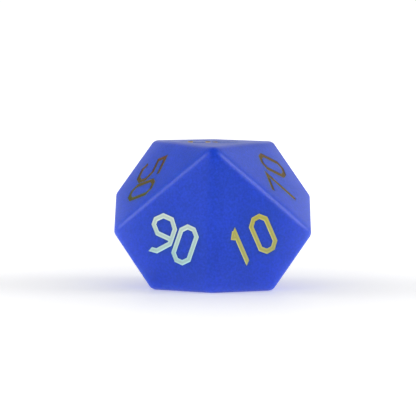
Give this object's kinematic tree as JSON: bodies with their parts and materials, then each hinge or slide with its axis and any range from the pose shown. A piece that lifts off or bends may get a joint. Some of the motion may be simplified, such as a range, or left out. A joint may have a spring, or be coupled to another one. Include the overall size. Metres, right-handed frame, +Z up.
{
  "type": "percentile die",
  "caption": "Ten-sided die of frosted blue glass with kite faces, whose engraved tens are filled with metallic paint.",
  "frame": {"origin": "on the plane the die rests on, directly below its centre", "axes": "+Z up, normal to the two level faces; +X across the die, along the row of digits on the top face; -Y towards the apex that the top face points to"},
  "size_m": [0.0218, 0.0176, 0.016],
  "materials": {
    "glass": "frosted",
    "paint": "colour-shifting metallic"
  },
  "bodies": {
    "root": {"glass_body": "glass", "inlay_30_tens": "paint", "inlay_30_units": "paint", "inlay_50_tens": "paint", "inlay_50_units": "paint", "inlay_90_tens": "paint", "inlay_90_units": "paint", "inlay_10_tens": "paint", "inlay_10_units": "paint", "inlay_70_tens": "paint", "inlay_70_units": "paint", "inlay_60_tens": "paint", "inlay_60_units": "paint", "inlay_20_tens": "paint", "inlay_20_units": "paint", "inlay_80_tens": "paint", "inlay_80_units": "paint", "inlay_00_tens": "paint", "inlay_00_units": "paint", "inlay_40_tens": "paint", "inlay_40_units": "paint"}
  },
  "joints": []
}
